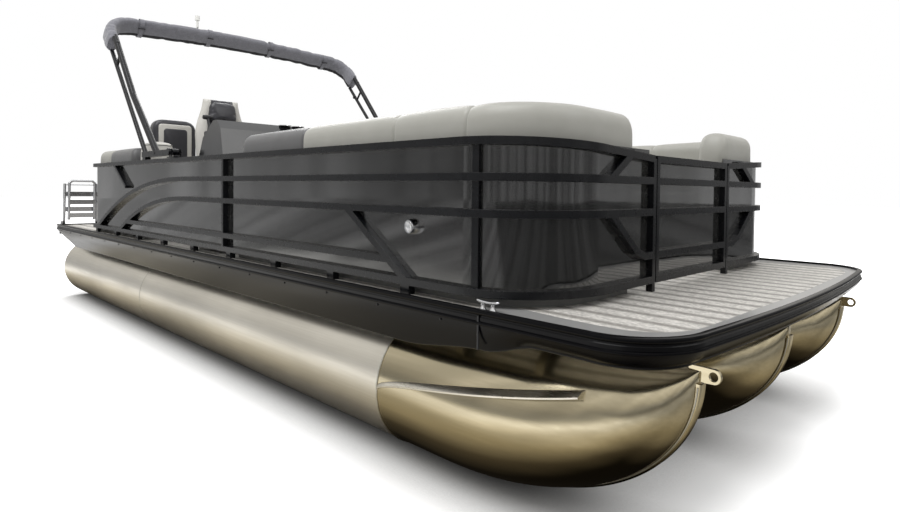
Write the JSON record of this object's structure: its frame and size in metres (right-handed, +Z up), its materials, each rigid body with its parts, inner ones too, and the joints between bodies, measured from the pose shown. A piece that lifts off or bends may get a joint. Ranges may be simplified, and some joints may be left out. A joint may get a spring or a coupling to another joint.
{
  "type": "pontoon boat",
  "caption": "Leisure boat on round tubes with a railed deck, gates, lounges, a helm, a folding canopy tower, a boarding ladder and a tilted outboard motor.",
  "frame": {"origin": "under the middle of the whole length, on the ground that the tubes stand on", "axes": "+X to the bow, +Y to port, +Z up"},
  "size_m": [8.7748, 2.59, 2.975],
  "materials": {
    "tube_aluminium": "brushed",
    "plain_aluminium": "mill finish",
    "charcoal_metal": "satin",
    "rail_metal": "satin",
    "smoke_sheet": "gloss",
    "woven_deck": "woven",
    "seat_shell": "satin",
    "vinyl_light": "coated cloth",
    "vinyl_dark": "coated cloth",
    "console_shell": "satin",
    "wheel_plastic": "soft grip",
    "chair_metal": "satin",
    "tower_metal": "satin",
    "canopy_cloth": "woven",
    "bright_steel": "polished",
    "motor_metal": "satin",
    "cowl_plastic": "gloss",
    "engine_iron": "rough",
    "lamp": "clear"
  },
  "bodies": {
    "hull": {"aft_backrests": "vinyl_light", "aft_lounge_bases": "seat_shell", "aft_seat_cushions": "vinyl_light", "bow_backrests": "vinyl_light", "bow_fascia": "charcoal_metal", "bow_lounge_bases": "seat_shell", "bow_seat_cushions": "vinyl_light", "chair_pedestal": "chair_metal", "chaise_back": "vinyl_light", "cleats": "bright_steel", "cross_beams": "plain_aluminium", "deck": "woven_deck", "docking_lights": "lamp", "fence_port": "rail_metal", "fence_starboard": "rail_metal", "helm_console": "console_shell", "ladder_brackets": "bright_steel", "lifting_strakes": "tube_aluminium", "motor_clamp": "motor_metal", "panel_starboard": "smoke_sheet", "panels_port": "smoke_sheet", "pontoon_centre": "tube_aluminium", "pontoon_port": "tube_aluminium", "pontoon_starboard": "tube_aluminium", "riser_rails": "tube_aluminium", "skirt_port": "charcoal_metal", "skirt_starboard": "charcoal_metal", "steering_column": "wheel_plastic", "stern_trim": "charcoal_metal", "tower_mounts": "rail_metal", "transom_pod": "plain_aluminium"},
    "bow_gate": {"bow_gate_frame": "rail_metal", "bow_gate_panel": "smoke_sheet"},
    "side_gate": {"side_gate_frame": "rail_metal", "side_gate_panel": "smoke_sheet"},
    "stern_gate": {"stern_gate_frame": "rail_metal", "stern_gate_panel": "smoke_sheet"},
    "tower": {"tower_frame": "tower_metal", "canopy_boot": "canopy_cloth", "anchor_light": "lamp"},
    "helm_chair": {"chair_base": "chair_metal", "chair_cushion": "vinyl_dark", "chair_back": "vinyl_dark", "chair_arms": "vinyl_dark"},
    "wheel": {"steering_wheel": "wheel_plastic"},
    "ladder": {"ladder_upper": "bright_steel"},
    "ladder_extension": {"ladder_lower": "bright_steel"},
    "motor_tilt": {"motor_bracket": "motor_metal"},
    "motor": {"motor_leg": "motor_metal", "motor_cowl": "cowl_plastic", "engine_block": "engine_iron"},
    "propeller": {"propeller": "bright_steel"}
  },
  "joints": [
    {"name": "bow_gate_hinge", "type": "hinge", "parent": "hull", "child": "bow_gate", "pos_m": [3.74581, -0.394, 1.081], "axis": [0, 0, 1], "range_deg": [0, 90]},
    {"name": "side_gate_hinge", "type": "hinge", "parent": "hull", "child": "side_gate", "pos_m": [1.678, 1.192, 1.081], "axis": [0, 0, 1], "range_deg": [0, 90]},
    {"name": "stern_gate_hinge", "type": "hinge", "parent": "hull", "child": "stern_gate", "pos_m": [-2.004, 0.351, 1.081], "axis": [0, 0, 1], "range_deg": [0, 90]},
    {"name": "tower_fold", "type": "hinge", "parent": "hull", "child": "tower", "pos_m": [0.282, 0, 1.481], "axis": [0, 1, 0], "range_deg": [0, 48]},
    {"name": "chair_turn", "type": "hinge", "parent": "hull", "child": "helm_chair", "pos_m": [-0.088, -0.65, 1.111], "axis": [0, 0, 1], "range_deg": [-180, 180]},
    {"name": "wheel_turn", "type": "hinge", "parent": "hull", "child": "wheel", "pos_m": [0.46812, -0.83, 1.5106], "axis": [-0.8829, 0, 0.4695], "range_deg": [-540, 540]},
    {"name": "ladder_fold", "type": "hinge", "parent": "hull", "child": "ladder", "pos_m": [-3.185, 0, 0.801], "axis": [0, 1, 0], "range_deg": [-180, 0]},
    {"name": "ladder_unfold", "type": "hinge", "parent": "ladder", "child": "ladder_extension", "pos_m": [-3.14005, 0, 1.22864], "axis": [0, 1, 0], "range_deg": [-180, 0]},
    {"name": "motor_tilt", "type": "hinge", "parent": "hull", "child": "motor_tilt", "pos_m": [-3.303, 0, 0.835], "axis": [0, 1, 0], "range_deg": [-62, 0]},
    {"name": "motor_steer", "type": "hinge", "parent": "motor_tilt", "child": "motor", "pos_m": [-3.35229, 0, 0.92771], "axis": [0.8829, 0, 0.4695], "range_deg": [-30, 30]},
    {"name": "propeller_spin", "type": "hinge", "parent": "motor", "child": "propeller", "pos_m": [-4.28657, 0, 0.78907], "axis": [0.4695, 0, -0.8829], "continuous": true}
  ]
}
